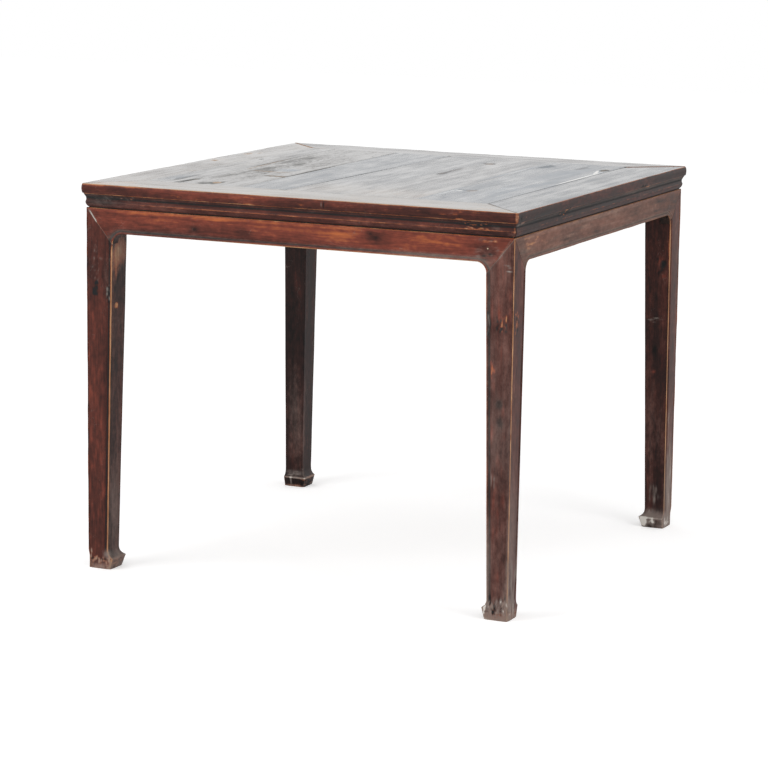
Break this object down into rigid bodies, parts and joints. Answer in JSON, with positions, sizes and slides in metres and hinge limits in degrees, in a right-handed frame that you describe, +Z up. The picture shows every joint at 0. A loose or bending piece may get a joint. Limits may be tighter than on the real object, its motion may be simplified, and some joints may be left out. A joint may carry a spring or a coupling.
{
  "type": "eight immortals table",
  "caption": "Square old softwood table with a mitred boarded top, moulded frame edge, beaded aprons and square tapered legs on inward-turned hoof feet.",
  "frame": {"origin": "on the floor under the middle of the square tabletop", "axes": "+Z up, +X to the right along the front edge, +Y to the back; the boards run along Y"},
  "size_m": [0.989, 0.989, 0.825],
  "materials": {
    "lacquered_frame": "aged dark red-brown lacquer, worn at the arrises",
    "panel_board": "aged dark stain, rubbed and satin",
    "lacquered_apron": "aged red-brown lacquer, worn at the bead",
    "lacquered_leg": "aged dark red-brown lacquer, worn at the arrises and feet",
    "bare_batten": "bare aged softwood",
    "pale_pin": "bare"
  },
  "bodies": {
    "root": {"top_frame_front": "lacquered_frame", "top_frame_right": "lacquered_frame", "top_frame_back": "lacquered_frame", "top_frame_left": "lacquered_frame", "top_board_1": "panel_board", "top_board_2": "panel_board", "top_board_3": "panel_board", "top_board_4": "panel_board", "top_board_5": "panel_board", "top_board_6": "panel_board", "batten_front": "bare_batten", "batten_middle": "bare_batten", "batten_back": "bare_batten", "apron_front": "lacquered_apron", "apron_right": "lacquered_apron", "apron_back": "lacquered_apron", "apron_left": "lacquered_apron", "leg_front_left": "lacquered_leg", "leg_front_right": "lacquered_leg", "leg_back_right": "lacquered_leg", "leg_back_left": "lacquered_leg", "apron_pin": "pale_pin"}
  },
  "joints": []
}
